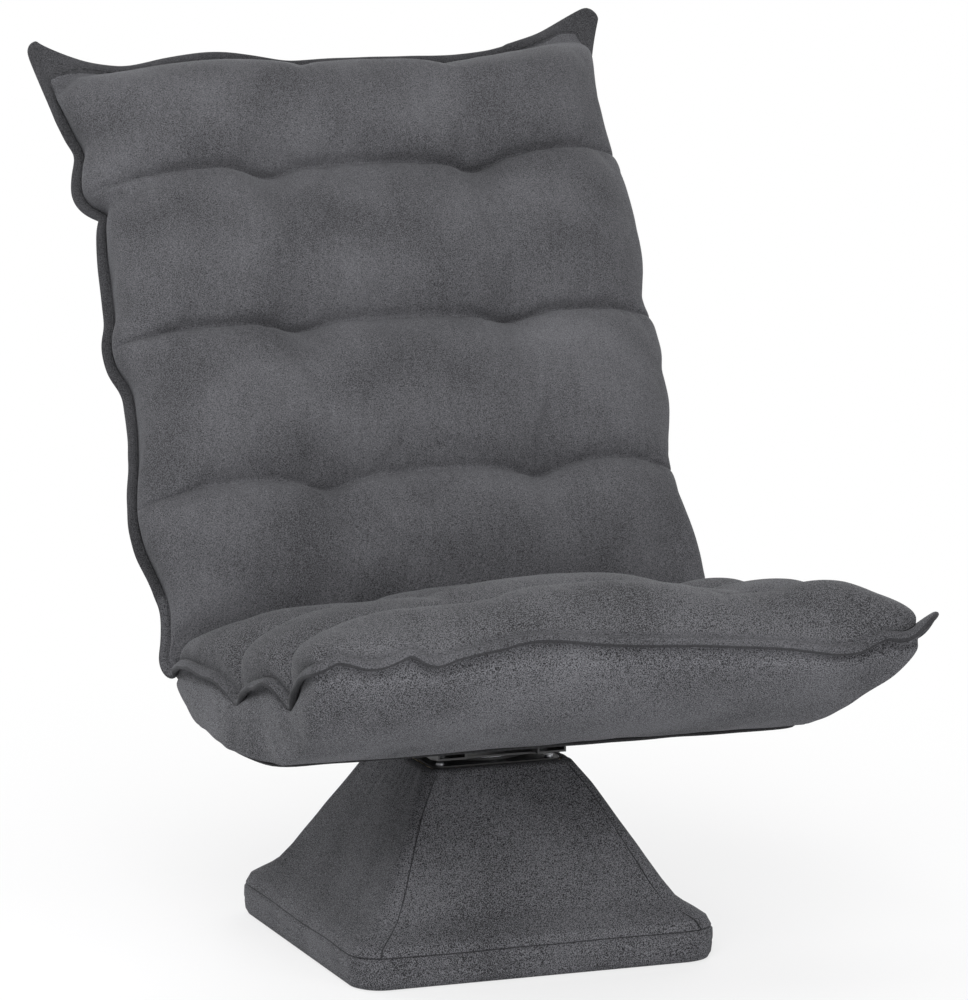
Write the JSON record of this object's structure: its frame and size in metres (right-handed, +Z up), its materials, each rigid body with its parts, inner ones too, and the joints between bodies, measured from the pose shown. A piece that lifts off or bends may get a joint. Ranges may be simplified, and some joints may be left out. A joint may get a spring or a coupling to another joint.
{
  "type": "swivel reclining lounge chair",
  "caption": "Low armless lounge chair: tufted pad on a folding steel frame with a ratchet recline, turning on a ball plate over a fabric-covered pyramid base.",
  "frame": {"origin": "middle of the base's underside, on the swivel axis", "axes": "+Z up, the chair faces -Y, +X across the seat"},
  "size_m": [0.6358, 0.8811, 0.8849],
  "materials": {
    "cover_fabric": "brushed suede-touch polyester, dark slate grey, with a mottled nap",
    "black_cloth": "black non-woven and elastic cloth",
    "foam": "polyurethane foam",
    "plywood": "raw plywood",
    "black_steel": "black powder coat",
    "zinc_steel": "bright zinc plate"
  },
  "bodies": {
    "base": {"base_underlay": "black_cloth", "base_bottom_board": "plywood", "base_plinth_rails": "plywood", "base_panel_front": "plywood", "base_panel_rear": "plywood", "base_panel_left": "plywood", "base_panel_right": "plywood", "base_top_board": "plywood", "base_foam": "foam", "base_cover": "cover_fabric", "turntable_lower_plate": "black_steel", "turntable_pivot": "zinc_steel", "turntable_screws": "zinc_steel"},
    "ball_ring": {"ball_cage": "zinc_steel", "turntable_balls": "zinc_steel"},
    "seat": {"turntable_upper_plate": "black_steel", "turntable_bolts": "zinc_steel", "swivel_channel_left": "black_steel", "swivel_channel_right": "black_steel", "seat_rail_left": "black_steel", "seat_rail_right": "black_steel", "seat_front_tube": "black_steel", "seat_middle_tube": "black_steel", "seat_rear_tube": "black_steel", "hinge_cheeks_left": "zinc_steel", "hinge_cheeks_right": "zinc_steel", "hinge_rivets": "zinc_steel", "hinge_pawls": "zinc_steel", "seat_webbing": "black_cloth", "seat_foam": "foam", "seat_surround": "cover_fabric", "seat_bottom_cloth": "black_cloth", "seat_cushion": "cover_fabric"},
    "backrest": {"ratchet_plate_left": "zinc_steel", "ratchet_plate_right": "zinc_steel", "back_stile_left": "black_steel", "back_stile_right": "black_steel", "back_top_tube": "black_steel", "back_cross_tubes": "black_steel", "back_webbing": "black_cloth", "back_foam": "foam", "back_rear_cover": "black_cloth", "back_cushion": "cover_fabric"}
  },
  "joints": [
    {"name": "seat_swivel", "type": "hinge", "parent": "base", "child": "seat", "pos_m": [0, 0, 0.19], "axis": [0, 0, 1], "continuous": true},
    {"name": "ball_cage_turn", "type": "hinge", "parent": "base", "child": "ball_ring", "pos_m": [0, 0, 0.19], "axis": [0, 0, 1], "continuous": true},
    {"name": "back_recline", "type": "hinge", "parent": "seat", "child": "backrest", "pos_m": [0, 0.068, 0.246], "axis": [-1, 0, 0], "range_deg": [-24, 48]}
  ],
  "couplings": [
    {"joint": "ball_cage_turn", "follows": "seat_swivel", "ratio": 0.5}
  ]
}
